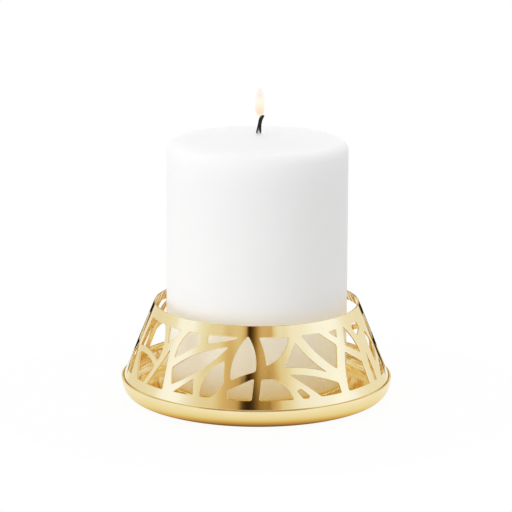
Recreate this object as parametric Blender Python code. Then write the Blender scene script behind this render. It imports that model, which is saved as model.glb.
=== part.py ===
"""Pillar candle holder: a dish with a raised seat, a pierced gallery that lifts off it, and the candle.

Metres, +Z up. The origin is on the table, under the candle's axis.
"""
import math

import bmesh
import bpy
from mathutils import Vector

MM = 0.001

# Gap kept between pieces that rest on or in one another
GAP = 0.3 * MM

# Felt pads glued under the dish's foot ring
PAD_COUNT = 4
PAD_RADIUS = 3.0 * MM
PAD_THICKNESS = 0.8 * MM

# Candle, slightly drafted so that it leaves its mould
CANDLE_FOOT_RADIUS = 40.0 * MM
CANDLE_DRAFT = 0.3 * MM
CANDLE_HEIGHT = 106.7 * MM
CANDLE_SHOULDER = 4.3 * MM
CANDLE_FOOT_ROUND = 2.0 * MM

# Wick and the pressed tin clip that holds its lower end
WICK_RADIUS = 0.85 * MM
WICK_RISE = 10.8 * MM
WICK_LEAN = 2.8 * MM
CLIP_RADIUS = 6.0 * MM
CLIP_THICKNESS = 0.4 * MM
CLIP_NECK_WALL = 0.4 * MM
CLIP_NECK_HEIGHT = 5.0 * MM

# Dish: a raised seat, a drip channel round it, a ledge for the gallery and a thin lip
SEAT_HEIGHT = 6.5 * MM
SEAT_MARGIN = 0.5 * MM
SEAT_THICKNESS = 1.5 * MM
SEAT_EDGE_ROUND = 1.0 * MM
CHANNEL_WIDTH = 17.0 * MM
CHANNEL_THICKNESS = 0.9 * MM
LEDGE_DEPTH = 2.2 * MM
LEDGE_MARGIN = 0.5 * MM
LIP_WALL = 0.9 * MM
DISH_HEIGHT = 8.2 * MM
DISH_FLARE = 4.8 * MM

# Gallery: a cone of sheet metal with plain bands above and below the openings
SHEET = 0.8 * MM
RIM_HEIGHT = 41.5 * MM
RIM_AIR = 4.44 * MM
UPPER_BAND = 4.7 * MM
LOWER_BAND = 3.8 * MM
OPENING_CORNER = 0.8 * MM
CORNER_SHARE = 0.35
PUNCH_MARGIN = 3.0 * MM

# Facets round each turned piece and along each arc
DISH_FACETS = 64
GALLERY_FACETS = 64
CANDLE_FACETS = 48
SMALL_FACETS = 16
ARC_STEPS = 4
SMALL_ARC_STEPS = 2
WALL_STEPS = 8
SIDE_STEPS = 4
CORNER_STEPS = 2
WICK_STEPS = 8
WELD = 0.001 * MM
SMOOTH_ANGLE = math.radians(35)

# Heights of the seats, above the table
foot_z = PAD_THICKNESS + GAP
seat_z = foot_z + SEAT_HEIGHT
lip_z = foot_z + DISH_HEIGHT
ledge_z = lip_z - LEDGE_DEPTH
rim_z = foot_z + RIM_HEIGHT
candle_z = seat_z + GAP

# Radii, from the candle outwards
seat_radius = CANDLE_FOOT_RADIUS + SEAT_MARGIN
ledge_radius = seat_radius + CHANNEL_WIDTH
lip_inner_radius = ledge_radius + LEDGE_MARGIN + SHEET + GAP
dish_radius = lip_inner_radius + LIP_WALL
foot_radius = dish_radius - DISH_FLARE
hollow_radius = seat_radius - SEAT_THICKNESS
gallery_foot_radius = lip_inner_radius - GAP
rim_radius = CANDLE_FOOT_RADIUS + RIM_AIR + SHEET
bore_radius = WICK_RADIUS + GAP

# Cone of the gallery: its radius shrinks by cone_slope for each unit of height
cone_slope = (gallery_foot_radius - rim_radius) / (rim_z - lip_z)
cone_angle = math.atan(cone_slope)
fret_bottom_z = lip_z + LOWER_BAND
fret_height = rim_z - UPPER_BAND - fret_bottom_z

# Openings of one half of the gallery, as corners listed anticlockwise as seen from outside. A corner is
# (degrees round from the front, height as a share of the pierced band, bulge of the side that follows
# as a share of that side's length).
OPENINGS = {
    "leaf_by_trunk": ((-11.7, 0.31, -0.03), (-0.5, 0.46, 0.1), (-4.4, 1.02, 0.12)),
    "foot_left_of_trunk": ((-12.4, 0, 0), (-2.1, 0, 0), (-1.2, 0.34, 0.02), (-12.6, 0.13, 0)),
    "wing_by_trunk": ((4.9, 0.55, 0.12), (16.9, 1, 0), (1.5, 1, -0.05)),
    "foot_right_of_trunk": ((1.4, 0, 0), (16.2, 0, 0.14), (7.4, 0.33, 0), (2.5, 0.33, 0)),
    "upright_leaf": ((-25.1, 0.01, 0), (-20.6, 0.01, 0.1), (-14.9, 0.27, 0), (-15.5, 0.61, 0.17)),
    "small_wedge": ((-38.6, 0.01, 0), (-28.3, 0.01, 0), (-29.4, 0.28, 0)),
    "tall_wedge": ((-56.4, 0, 0), (-45, 0, 0), (-47.2, 0.65, 0)),
    "low_arch": ((-65.2, 0, 0), (-59, 0, 0), (-54.6, 0.31, 0.11), (-73.4, 0.4, 0)),
    "wide_window": ((-76.6, 0.48, -0.12), (-53.8, 0.4, 0.14), (-57.2, 1, 0), (-74.6, 1, 0.04)),
    "small_fan": ((-49.9, 0.73, 0.03), (-43, 1, 0), (-52.4, 1, 0)),
    "leaf_under_rim": ((-42.8, 0.54, 0), (-29.7, 0.83, 0), (-30.5, 1, 0), (-37.4, 1, 0.11)),
    "thin_blade": ((-25.6, 0.86, 0.01), (-9.4, 0.98, 0), (-10.6, 1, 0), (-25.9, 1, 0)),
    "long_leaf": ((-40.4, 0.12, 0.04), (-14.3, 0.83, 0.08), (-42.6, 0.38, 0)),
    "thorn": ((12.9, 0.52, -0.05), (34.2, 0.37, -0.03), (20, 0.9, 0)),
    "broad_leaf": ((40.4, 0.39, 0), (43.9, 0.76, 0), (34.4, 1, 0), (23.8, 1, 0.04)),
    "high_pip": ((45.4, 0.87, 0), (46.5, 1.01, 0), (40.7, 0.99, 0)),
    "lying_leaf": ((29.2, 0, 0), (39.9, 0, 0), (39.5, 0.16, 0.05), (15.2, 0.4, -0.02)),
    "low_pip": ((20.5, 0, 0), (23, 0, 0), (23.6, 0.04, 0), (20, 0.16, 0), (18, 0.13, 0)),
    "hanging_blade": ((49.8, 0.72, 0), (60.7, 0.52, 0.09), (52.2, 1.02, 0)),
    "tall_window": ((44.3, 0, 0), (59.7, 0, 0), (59.5, 0.37, 0), (48.4, 0.62, 0.05)),
    "drop": ((62.8, 0.79, 0), (68.6, 0.9, 0), (67, 1, 0), (61, 1, 0), (59.8, 0.94, 0)),
    "slim_leaf": ((72.8, 0.26, 0.11), (79.2, 0.5, 0.06), (73, 0.81, 0.06)),
    "slim_slit": ((64.4, 0, 0), (67, 0, 0), (67.7, 0.18, 0), (66, 0.51, 0), (64.5, 0.26, 0)),
    "low_slit": ((72.8, 0, 0), (79.3, 0, 0), (82, 0.15, 0), (79.5, 0.28, 0)),
    "side_thorn": ((84.2, 0, 0), (91, 0, 0), (89.5, 0.28, 0), (86, 0.44, 0)),
    "side_window": ((83, 0.55, 0), (88.2, 0.65, 0), (86.5, 1, 0), (80, 1, 0)),
    "side_leaf_low": ((-79.5, 0, 0), (-73.6, 0, 0), (-77, 0.36, 0), (-80.5, 0.5, 0), (-87.2, 0.23, 0)),
    "side_leaf_high": ((-86, 0.52, 0), (-80, 0.51, 0), (-82, 0.73, 0), (-84, 0.99, 0), (-88.6, 0.99, 0)),
}


def clear_scene():
    for thing in list(bpy.data.objects):
        bpy.data.objects.remove(thing, do_unlink=True)


def make_material(name, colour, roughness, metallic):
    material = bpy.data.materials.new(name)
    material.use_nodes = True
    shader = material.node_tree.nodes["Principled BSDF"]
    shader.inputs["Base Color"].default_value = (*colour, 1.0)
    shader.inputs["Roughness"].default_value = roughness
    shader.inputs["Metallic"].default_value = metallic
    material.diffuse_color = (*colour, 1.0)
    return material


def add_empty(name, height):
    """Empty on the candle's axis at the given height."""
    empty = bpy.data.objects.new(name, None)
    empty.empty_display_size = 0.01
    empty.location.z = height
    bpy.context.scene.collection.objects.link(empty)
    return empty


def add_object(name, data, parent, height=0.0):
    """Object on the candle's axis at a height above the table, carried by an empty on that axis."""
    thing = bpy.data.objects.new(name, data)
    bpy.context.scene.collection.objects.link(thing)
    thing.parent = parent
    thing.location.z = height - parent.location.z
    return thing


def finish_mesh(bm, name):
    """Weld the seams, turn the faces outwards and shade the round stretches smooth."""
    bmesh.ops.remove_doubles(bm, verts=bm.verts, dist=WELD)
    bmesh.ops.recalc_face_normals(bm, faces=bm.faces)
    mesh = bpy.data.meshes.new(name)
    bm.to_mesh(mesh)
    bm.free()
    mesh.shade_smooth()
    mesh.set_sharp_from_angle(angle=SMOOTH_ANGLE)
    return mesh


def lathe(name, profile, facets, ring=False):
    """Mesh turned about Z from (radius, height) points; a ring's profile closes on itself."""
    bm = bmesh.new()
    points = [bm.verts.new((radius, 0.0, height)) for radius, height in profile]
    edges = [bm.edges.new(pair) for pair in zip(points, points[1:])]
    if ring:
        edges.append(bm.edges.new((points[-1], points[0])))
    bmesh.ops.spin(
        bm,
        geom=points + edges,
        cent=(0.0, 0.0, 0.0),
        axis=(0.0, 0.0, 1.0),
        angle=math.tau,
        steps=facets,
    )
    return finish_mesh(bm, name)


def arc(centre, size, start, end, steps=ARC_STEPS):
    """Points of an elliptical arc, from one angle in degrees to another."""
    angles = [math.radians(start + (end - start) * step / steps) for step in range(steps + 1)]
    return [
        (centre[0] + size[0] * math.cos(angle), centre[1] + size[1] * math.sin(angle)) for angle in angles
    ]


def dish_profile():
    """Half section of the dish above its foot ring, from the seat's middle over the lip and back."""
    floor = CHANNEL_THICKNESS
    ledge = DISH_HEIGHT - LEDGE_DEPTH
    edge = min(SEAT_EDGE_ROUND, (SEAT_HEIGHT - floor) / 2)
    sweep = min(ledge - floor, CHANNEL_WIDTH - edge)
    lip = LIP_WALL / 2
    points = [(0.0, SEAT_HEIGHT)]
    points += arc((seat_radius - edge, SEAT_HEIGHT - edge), (edge, edge), 90, 0, SMALL_ARC_STEPS)
    points += arc((seat_radius + edge, floor + edge), (edge, edge), 180, 270, SMALL_ARC_STEPS)
    points += arc((ledge_radius - sweep, floor + sweep), (sweep, sweep), -90, 0)
    points += [(ledge_radius, ledge), (lip_inner_radius, ledge)]
    points += arc((lip_inner_radius + lip, DISH_HEIGHT - lip), (lip, lip), 180, 0)
    points += arc((foot_radius, DISH_HEIGHT - lip), (DISH_FLARE, DISH_HEIGHT - lip), 0, -90, WALL_STEPS)[1:]
    points += [(hollow_radius, 0.0), (hollow_radius, SEAT_HEIGHT - SEAT_THICKNESS)]
    points += [(0.0, SEAT_HEIGHT - SEAT_THICKNESS)]
    return points


def build_dish(stand, brass):
    mesh = lathe("base_dish", dish_profile(), DISH_FACETS)
    mesh.materials.append(brass)
    add_object("base_dish", mesh, stand, foot_z)


def build_pads(stand, felt):
    """Round pads spaced evenly on the middle of the foot ring."""
    profile = [
        (0.0, PAD_THICKNESS),
        (PAD_RADIUS, PAD_THICKNESS),
        (PAD_RADIUS, 0.0),
        (0.0, 0.0),
    ]
    mesh = lathe("felt_pad", profile, SMALL_FACETS)
    mesh.materials.append(felt)
    ring_radius = (foot_radius + hollow_radius) / 2
    for index in range(PAD_COUNT):
        angle = math.tau * (index + 0.5) / PAD_COUNT
        pad = add_object(f"felt_pad_{index + 1}", mesh, stand)
        pad.location.x = ring_radius * math.cos(angle)
        pad.location.y = ring_radius * math.sin(angle)


def gallery_profile():
    """Closed section of the gallery's sheet: a short upright foot inside the lip, then the cone."""
    foot = ledge_z + GAP
    level = SHEET / math.cos(cone_angle)
    inner_foot = gallery_foot_radius - SHEET
    inner_bend = lip_z - (level - SHEET) / cone_slope
    return [
        (rim_radius, rim_z - foot),
        (gallery_foot_radius, lip_z - foot),
        (gallery_foot_radius, 0.0),
        (inner_foot, 0.0),
        (inner_foot, inner_bend - foot),
        (rim_radius - level, rim_z - foot),
    ]


def cone_radius(height):
    return gallery_foot_radius - cone_slope * (height - lip_z)


def fret_outline(corners):
    """Angle and height of the points round one opening, with bulged sides and rounded corners."""
    middle_angle = sum(corner[0] for corner in corners) / len(corners)
    middle_share = sum(corner[1] for corner in corners) / len(corners)
    middle_z = fret_bottom_z + fret_height * middle_share
    across = math.radians(1.0) * cone_radius(middle_z)
    along = fret_height / math.cos(cone_angle)
    flat = [
        Vector(((angle - middle_angle) * across, (share - middle_share) * along))
        for angle, share, bulge in corners
    ]
    count = len(corners)
    sides = [flat[(index + 1) % count] - flat[index] for index in range(count)]
    cuts = [
        min(OPENING_CORNER, CORNER_SHARE * min(sides[index].length, sides[index - 1].length))
        for index in range(count)
    ]

    def on_side(index, share):
        side = sides[index]
        outward = Vector((side.y, -side.x))
        return flat[index] + side * share + outward * (4 * corners[index][2] * share * (1 - share))

    points = []
    for index in range(count):
        after = (index + 1) % count
        start = cuts[index] / sides[index].length
        end = 1 - cuts[after] / sides[index].length
        steps = SIDE_STEPS if corners[index][2] else 1
        points += [on_side(index, start + (end - start) * step / steps) for step in range(steps + 1)]
        leave = points[-1]
        join = on_side(after, cuts[after] / sides[after].length)
        for step in range(1, CORNER_STEPS):
            share = step / CORNER_STEPS
            points.append(
                leave * (1 - share) ** 2 + flat[after] * 2 * share * (1 - share) + join * share**2
            )
    return [
        (math.radians(middle_angle + point.x / across), middle_z + point.y * math.cos(cone_angle))
        for point in points
    ]


def add_punch(bm, corners, turn):
    """Flat-walled punch in the shape of one opening, drawn in towards one point on the axis.

    The cone is square to that point halfway up the openings.
    """
    middle_z = fret_bottom_z + fret_height / 2
    focus = Vector((0.0, 0.0, middle_z - cone_slope * cone_radius(middle_z)))
    outer = []
    inner = []
    for angle, height in fret_outline(corners):
        around = Vector((math.sin(angle + turn), -math.cos(angle + turn), 0.0))
        surface = around * cone_radius(height) + Vector((0.0, 0.0, height))
        spoke = (surface - focus).normalized()
        outer.append(bm.verts.new(surface + spoke * PUNCH_MARGIN))
        inner.append(bm.verts.new(surface - spoke * (SHEET + PUNCH_MARGIN)))
    caps = [bm.faces.new(outer), bm.faces.new(inner[::-1])]
    for index in range(len(outer)):
        after = (index + 1) % len(outer)
        bm.faces.new((outer[after], outer[index], inner[index], inner[after]))
    bmesh.ops.triangulate(bm, faces=caps)


def build_gallery(carrier, brass):
    """Cone of sheet with each opening punched twice, half a turn apart."""
    shell = lathe("gallery", gallery_profile(), GALLERY_FACETS, ring=True)
    shell.materials.append(brass)
    gallery = add_object("gallery", shell, carrier, ledge_z + GAP)
    bm = bmesh.new()
    for turn in (0.0, math.pi):
        for corners in OPENINGS.values():
            add_punch(bm, corners, turn)
    punches = add_object("gallery_punches", finish_mesh(bm, "gallery_punches"), carrier)
    punches.hide_render = True
    punches.display_type = "WIRE"
    cut = gallery.modifiers.new("openings", "BOOLEAN")
    cut.operation = "DIFFERENCE"
    cut.solver = "EXACT"
    cut.object = punches


def candle_profile():
    """Half section of the candle above its foot: the wick's bore, the clip's recess and the outside."""
    top_radius = CANDLE_FOOT_RADIUS - CANDLE_DRAFT
    recess = CLIP_THICKNESS + GAP
    neck_radius = bore_radius + CLIP_NECK_WALL + GAP
    neck_top = CLIP_NECK_HEIGHT + GAP
    shoulder = CANDLE_SHOULDER
    foot = CANDLE_FOOT_ROUND
    points = [(bore_radius, CANDLE_HEIGHT)]
    points += arc((top_radius - shoulder, CANDLE_HEIGHT - shoulder), (shoulder, shoulder), 90, 0)
    points += arc((CANDLE_FOOT_RADIUS - foot, foot), (foot, foot), 0, -90, SMALL_ARC_STEPS)
    points += [(CLIP_RADIUS + GAP, 0.0), (CLIP_RADIUS + GAP, recess), (neck_radius, recess)]
    points += [(neck_radius, neck_top), (bore_radius, neck_top)]
    return points


def build_candle(carrier, wax):
    mesh = lathe("candle", candle_profile(), CANDLE_FACETS, ring=True)
    mesh.materials.append(wax)
    add_object("candle", mesh, carrier, candle_z)


def build_clip(carrier, tin):
    """Flat disc with a neck that the wick stands in."""
    neck_radius = bore_radius + CLIP_NECK_WALL
    profile = [
        (bore_radius, CLIP_NECK_HEIGHT),
        (neck_radius, CLIP_NECK_HEIGHT),
        (neck_radius, CLIP_THICKNESS),
        (CLIP_RADIUS, CLIP_THICKNESS),
        (CLIP_RADIUS, 0.0),
        (bore_radius, 0.0),
    ]
    mesh = lathe("wick_clip", profile, SMALL_FACETS, ring=True)
    mesh.materials.append(tin)
    add_object("wick_clip", mesh, carrier, candle_z)


def build_wick(carrier, cotton):
    """Cord that stands straight through the candle and leans to one side above it."""
    curve = bpy.data.curves.new("wick", "CURVE")
    curve.dimensions = "3D"
    curve.bevel_depth = WICK_RADIUS
    curve.bevel_resolution = 2
    curve.use_fill_caps = True
    curve.twist_mode = "MINIMUM"
    points = [(0.0, 0.0), (0.0, CANDLE_HEIGHT)]
    points += [
        (WICK_LEAN * (step / WICK_STEPS) ** 2, CANDLE_HEIGHT + WICK_RISE * step / WICK_STEPS)
        for step in range(1, WICK_STEPS + 1)
    ]
    spline = curve.splines.new("POLY")
    spline.points.add(len(points) - 1)
    for point, (lean, height) in zip(spline.points, points):
        point.co = (lean, 0.0, height, 1.0)
    curve.materials.append(cotton)
    add_object("wick", curve, carrier, candle_z)


def main():
    clear_scene()
    brass = make_material("polished_brass", (0.69, 0.47, 0.17), 0.12, 1.0)
    wax = make_material("white_wax", (0.86, 0.85, 0.83), 0.45, 0.0)
    cotton = make_material("charred_cotton", (0.02, 0.02, 0.02), 0.9, 0.0)
    tin = make_material("tinned_steel", (0.62, 0.62, 0.62), 0.3, 1.0)
    felt = make_material("black_felt", (0.03, 0.03, 0.03), 0.95, 0.0)
    stand = add_empty("stand", 0.0)
    gallery_carrier = add_empty("gallery_lift", ledge_z + GAP)
    candle_carrier = add_empty("candle_lift", candle_z)
    build_dish(stand, brass)
    build_pads(stand, felt)
    build_gallery(gallery_carrier, brass)
    build_candle(candle_carrier, wax)
    build_clip(candle_carrier, tin)
    build_wick(candle_carrier, cotton)


main()
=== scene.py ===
"""Pillar candle holder: the look of each piece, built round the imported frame.

The origin is on the table under the candle's axis, +Z is up and the object's front faces -Y. Sizes are
in millimetres here, and become metres where a mesh, a light or the camera is made.
"""
import math

import bpy
import numpy as np
from mathutils import Matrix, Vector, geometry


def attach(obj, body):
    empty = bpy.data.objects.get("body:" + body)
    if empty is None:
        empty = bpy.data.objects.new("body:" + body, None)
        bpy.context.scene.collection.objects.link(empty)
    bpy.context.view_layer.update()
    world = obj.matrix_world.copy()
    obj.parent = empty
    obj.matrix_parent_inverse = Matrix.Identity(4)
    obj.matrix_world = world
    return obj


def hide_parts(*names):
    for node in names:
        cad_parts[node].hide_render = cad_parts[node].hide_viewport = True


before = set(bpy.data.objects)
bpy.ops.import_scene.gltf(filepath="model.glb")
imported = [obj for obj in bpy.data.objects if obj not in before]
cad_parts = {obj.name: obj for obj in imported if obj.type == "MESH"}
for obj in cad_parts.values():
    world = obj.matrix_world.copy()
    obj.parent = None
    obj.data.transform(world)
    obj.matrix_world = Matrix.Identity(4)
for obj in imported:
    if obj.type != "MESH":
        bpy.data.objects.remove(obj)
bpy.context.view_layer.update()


# Camera
# A long lens about a metre away looks down by 13 degrees, as it does on the real tabletop set. It leans
# by a third of a degree, which lets the object's right side sit a hair lower.
MM = 0.001
CAMERA_DISTANCE = 1064.2
CAMERA_AIM_HEIGHT = 62.64
CAMERA_SIDE = -0.42
CAMERA_DOWN = math.radians(13.03)
CAMERA_LEAN = math.radians(0.315)
CAMERA_LENS = 169.72
CAMERA_SENSOR = 36.0

camera_data = bpy.data.cameras.new("camera")
camera_data.lens = CAMERA_LENS
camera_data.sensor_width = CAMERA_SENSOR
camera_data.clip_start = 10 * MM
camera = bpy.data.objects.new("camera", camera_data)
bpy.context.scene.collection.objects.link(camera)
camera_place = (
    CAMERA_SIDE * MM,
    -CAMERA_DISTANCE * math.cos(CAMERA_DOWN) * MM,
    (CAMERA_AIM_HEIGHT + CAMERA_DISTANCE * math.sin(CAMERA_DOWN)) * MM,
)
camera.matrix_world = (
    Matrix.Translation(camera_place)
    @ Matrix.Rotation(math.pi / 2 - CAMERA_DOWN, 4, "X")
    @ Matrix.Rotation(CAMERA_LEAN, 4, "Z")
)
bpy.context.scene.camera = camera
bpy.context.scene.view_settings.view_transform = "Standard"


# Surroundings of the table
# The set is a light tent of white paper round a small table. Its front has a gap with the dark room behind
# it and warm light beside it, and it is dark far behind the table, which draws the metal's outline.
def add_node(tree, kind, settings=(), inputs=()):
    """Add a node; settings are its properties, inputs its sockets, each given a value or an output."""
    new = tree.nodes.new(kind)
    for name, value in dict(settings).items():
        setattr(new, name, value)
    for key, value in dict(inputs).items():
        if isinstance(value, bpy.types.NodeSocket):
            tree.links.new(value, new.inputs[key])
        else:
            new.inputs[key].default_value = value
    return new


def set_ramp(ramp, stops):
    """Give a colour ramp its stops, each a position and a grey value or RGBA colour."""
    while len(ramp.elements) > 1:
        ramp.elements.remove(ramp.elements[-1])
    for number, (place, colour) in enumerate(stops):
        element = ramp.elements.new(place) if number else ramp.elements[0]
        element.position = place
        element.color = colour if isinstance(colour, tuple) else (colour, colour, colour, 1.0)


# Each ring is a brightness by direction round the table, in degrees from the front, the viewer's left
# negative. TENT_FULL is the brightness at which the colour ramps end.
TENT_FULL = 1.4
TENT_LEFT = (
    (-169, 0.3), (-162, 0.86), (-112, 0.93), (-100, 0.97), (-88, 1.08), (-76, 1.11), (-64, 0.97),
    (-52, 0.88), (-40, 0.86),
)
TENT_RIGHT = (
    (40, 1.0), (52, 1.03), (64, 1.07), (88, 1.13), (100, 1.04), (112, 0.97), (162, 0.88),
    (169, 0.3),
)
TENT_GAP = (
    (-17, 0.81), (-13, 0.73), (-11, 0.52), (-9.5, 0.03), (-7, 0.03), (-4, 0.12), (-1, 0.3),
    (1, 0.46), (4, 0.66), (8, 0.72), (12, 0.7), (17, 0.68), (18.5, 0.8), (22, 0.9), (28, 0.97),
)
TENT_WIDE_GAP = (
    (-28, 0.71), (-20, 0.62), (-16, 0.48), (-13.5, 0.08), (-11, 0.03), (-4, 0.04), (-1, 0.1),
    (4, 0.3), (8, 0.365), (13, 0.35), (14, 0.5), (20, 0.71), (24, 0.83), (28, 0.86),
)
TENT_LOW = (
    (-177, 0.3), (-171, 0.86), (-112, 0.93), (-100, 0.97), (-90, 1.1), (-65, 1.2), (65, 1.2),
    (90, 1.12), (100, 1.04), (112, 0.97), (171, 0.88), (177, 0.3),
)
TENT_HIGH = (
    (-160, 0.4), (-140, 0.86), (-80, 0.95), (-45, 0.48), (45, 0.48), (80, 0.95), (140, 0.86),
    (160, 0.4),
)
TENT_FLAGS = ((-157.5, 0.02), (-154, 0.95), (154, 0.95), (157.5, 0.02))

# The first layer is everywhere. Each later one has the height in degrees where it starts to show, and the
# one where it has covered those before it.
TENT_LAYERS = (
    (TENT_LEFT + TENT_WIDE_GAP + TENT_RIGHT, None, None),
    (TENT_LEFT + TENT_GAP + TENT_RIGHT, 27.9, 28.4),
    (TENT_HIGH, 34, 42),
    (((0, 0.42),), 60, 75),
    (TENT_LOW, 20, 16.5),
    (TENT_FLAGS, -2.5, -4.0),
    (((0, 0.95),), -16, -18),
)

# Colour of the paper at each brightness: the shaded paper is warm, and the brightest a little cool.
TENT_WARMTH = (
    (0.0, (0.0, 0.0, 0.0)),
    (0.15, (0.15, 0.075, 0.022)),
    (0.32, (0.3, 0.17, 0.038)),
    (0.62, (0.587, 0.4, 0.175)),
    (0.74, (0.7, 0.51, 0.26)),
    (0.82, (0.776, 0.685, 0.46)),
    (0.865, (0.818, 0.76, 0.6)),
    (0.93, (0.88, 0.873, 0.8)),
    (1.01, (0.957, 0.99, 1.08)),
    (1.06, (1.0, 1.08, 1.3)),
    (1.1, (1.03, 1.12, 1.4)),
    (1.4, (1.2, 1.3, 1.4)),
)

world = bpy.data.worlds.new("light_tent")
bpy.context.scene.world = world
world.use_nodes = True
tent = world.node_tree
tent.nodes.clear()
way = add_node(tent, "ShaderNodeTexCoord").outputs["Generated"]
split = add_node(tent, "ShaderNodeSeparateXYZ", inputs={0: way}).outputs
front = add_node(tent, "ShaderNodeMath", {"operation": "MULTIPLY"}, {0: split["Y"], 1: -1.0}).outputs[0]
turn = add_node(tent, "ShaderNodeMath", {"operation": "ARCTAN2"}, {0: split["X"], 1: front}).outputs[0]
turn = add_node(
    tent, "ShaderNodeMapRange", inputs={"Value": turn, "From Min": -math.pi, "From Max": math.pi}
).outputs["Result"]
rise = add_node(tent, "ShaderNodeMath", {"operation": "ARCSINE"}, {0: split["Z"]}).outputs[0]
for stops, start, full in TENT_LAYERS:
    ring = add_node(tent, "ShaderNodeValToRGB", inputs={"Fac": turn})
    set_ramp(ring.color_ramp, [((angle + 180) / 360, value / TENT_FULL) for angle, value in stops])
    if start is None:
        shade = ring.outputs["Color"]
        continue
    amount = add_node(
        tent,
        "ShaderNodeMapRange",
        {"interpolation_type": "SMOOTHSTEP"},
        {"Value": rise, "From Min": math.radians(start), "From Max": math.radians(full)},
    )
    shade = add_node(
        tent,
        "ShaderNodeMix",
        {"data_type": "RGBA"},
        {0: amount.outputs["Result"], 6: shade, 7: ring.outputs["Color"]},
    ).outputs[2]

# Metal shows the tent's rings. Everything matt takes an even white light from it, and the camera sees a
# plain white backdrop.
TENT_MATT = 0.737
WHITE = (1.0, 1.0, 1.0, 1.0)
warm = add_node(tent, "ShaderNodeValToRGB", inputs={"Fac": shade})
set_ramp(
    warm.color_ramp,
    [(value / TENT_FULL, (*(part / TENT_FULL for part in colour), 1.0)) for value, colour in TENT_WARMTH],
)
rays = add_node(tent, "ShaderNodeLightPath").outputs
shown = add_node(
    tent, "ShaderNodeBackground", inputs={"Color": warm.outputs["Color"], "Strength": TENT_FULL}
)
given = add_node(tent, "ShaderNodeBackground", inputs={"Color": WHITE, "Strength": TENT_MATT})
backdrop = add_node(tent, "ShaderNodeBackground", inputs={"Color": WHITE, "Strength": 1.0})
tent_light = add_node(
    tent, "ShaderNodeMixShader", inputs={0: rays["Is Glossy Ray"], 1: given.outputs[0], 2: shown.outputs[0]}
)
seen = add_node(
    tent,
    "ShaderNodeMixShader",
    inputs={0: rays["Is Camera Ray"], 1: tent_light.outputs[0], 2: backdrop.outputs[0]},
)
add_node(tent, "ShaderNodeOutputWorld", inputs={"Surface": seen.outputs[0]})


# Lamps
# Three round soft boxes are turned to the candle: a low one on the left, which makes the wax brighter on
# that side, one overhead and one high behind. All are flagged off the metal, so they leave no glare there.
LAMP_DISTANCE = 1200
LAMP_SIZE = 900
LAMP_AIM_Z = 60

# Each lamp's name, its turn from the front and its rise over level in degrees, and its power in watts
for lamp_name, lamp_turn, lamp_rise, lamp_watts in (
    ("side_soft_box", -50, -8, 4.1),
    ("top_soft_box", 0, 88, 2.2),
    ("back_soft_box", 180, 60, 1.6),
):
    lamp_data = bpy.data.lights.new(lamp_name, "AREA")
    lamp_data.shape = "DISK"
    lamp_data.size = LAMP_SIZE * MM
    lamp_data.energy = lamp_watts
    lamp = bpy.data.objects.new(lamp_name, lamp_data)
    bpy.context.scene.collection.objects.link(lamp)
    lamp_turn, lamp_rise = math.radians(lamp_turn), math.radians(lamp_rise)
    lamp_way = Vector(
        (
            math.sin(lamp_turn) * math.cos(lamp_rise),
            -math.cos(lamp_turn) * math.cos(lamp_rise),
            math.sin(lamp_rise),
        )
    )
    lamp.location = lamp_way * LAMP_DISTANCE * MM + Vector((0.0, 0.0, LAMP_AIM_Z * MM))
    lamp.rotation_euler = lamp_way.to_track_quat("Z", "Y").to_euler()
    lamp.visible_glossy = False


# Table top
# A small round table covered in matt white paper. It takes a faint soft shadow from the holder, and lights
# the metal's underside from below with a painted warm glow and shade.
TABLE_RADIUS = 120.0
TABLE_RINGS = 26
TABLE_AROUND = 96
TABLE_FIBRE = 2.5

# Share of plain white in what the camera sees of the paper
TABLE_WHITE = 0.95

# Painted warm glow and shade on the paper by distance, with how much smaller it is drawn and how far it is
# moved forward
GLOW_SCALE = 1.154
GLOW_SHIFT = 9.23
TABLE_PAINTED_GLOW_AND_SHADE = (
    (55, (0.15, 0.09, 0.03)),
    (57, (0.28, 0.17, 0.06)),
    (58.5, (0.5, 0.31, 0.1)),
    (60, (0.69, 0.42, 0.16)),
    (61, (0.75, 0.53, 0.23)),
    (62.3, (0.78, 0.65, 0.32)),
    (63.6, (0.82, 0.74, 0.42)),
    (65.2, (0.87, 0.79, 0.54)),
    (68, (0.91, 0.85, 0.66)),
    (74, (0.93, 0.91, 0.77)),
    (84, (0.96, 0.96, 0.93)),
    (100, (0.97, 0.98, 0.97)),
)


def linear(code):
    """Linear RGBA of an sRGB hex colour."""
    values = np.array([int(code[i : i + 2], 16) for i in (1, 3, 5)]) / 255
    values = np.where(values <= 0.04045, values / 12.92, ((values + 0.055) / 1.055) ** 2.4)
    return (*values.tolist(), 1.0)


def add_piece(name, points, faces, material, normals=None):
    """Mesh object from points in millimetres; its faces shade smooth, by the given normals if any."""
    mesh = bpy.data.meshes.new(name)
    mesh.from_pydata((np.asarray(points) * MM).tolist(), [], faces)
    mesh.shade_smooth()
    if normals is not None:
        mesh.normals_split_custom_set_from_vertices(np.asarray(normals).tolist())
    mesh.materials.append(material)
    mesh.update()
    piece = bpy.data.objects.new(name, mesh)
    bpy.context.scene.collection.objects.link(piece)
    return piece


def new_material(name):
    """Empty node material, its tree and the place on the object."""
    material = bpy.data.materials.new(name)
    material.use_nodes = True
    tree = material.node_tree
    tree.nodes.clear()
    return material, tree, add_node(tree, "ShaderNodeTexCoord").outputs["Object"]


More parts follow.
